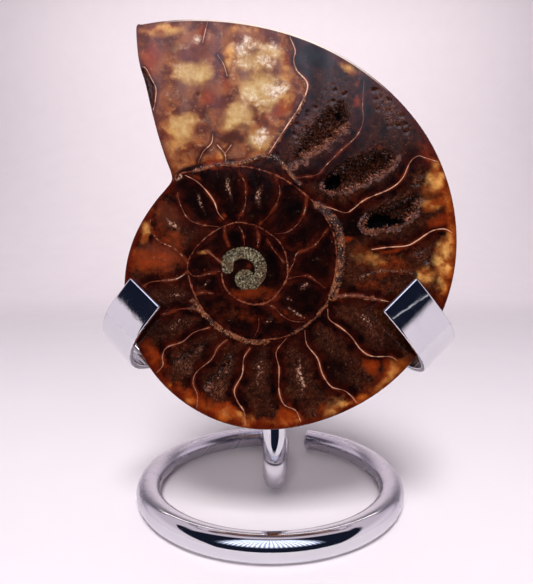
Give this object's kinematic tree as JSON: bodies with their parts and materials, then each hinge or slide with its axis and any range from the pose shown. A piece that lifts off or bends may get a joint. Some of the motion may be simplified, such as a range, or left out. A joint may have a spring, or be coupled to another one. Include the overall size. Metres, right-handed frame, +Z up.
{
  "type": "ammonite fossil half on a ring stand",
  "caption": "Sawn and polished half of an ammonite fossil, coiled and chambered, held upright by the hooked arms of an open ring stand.",
  "frame": {"origin": "under the middle of the whole object's box, on the surface it stands on", "axes": "+Z up, the cut face of the fossil looks along -Y"},
  "size_m": [0.066, 0.058, 0.0964],
  "materials": {
    "ammonite": "polished calcite in dark red-brown, honey and cream, rough crystals in the hollows",
    "chrome": "bright chrome plate on steel"
  },
  "bodies": {
    "root": {"ammonite_half": "ammonite", "base_rod": "chrome", "left_arm": "chrome", "right_arm": "chrome"}
  },
  "joints": []
}
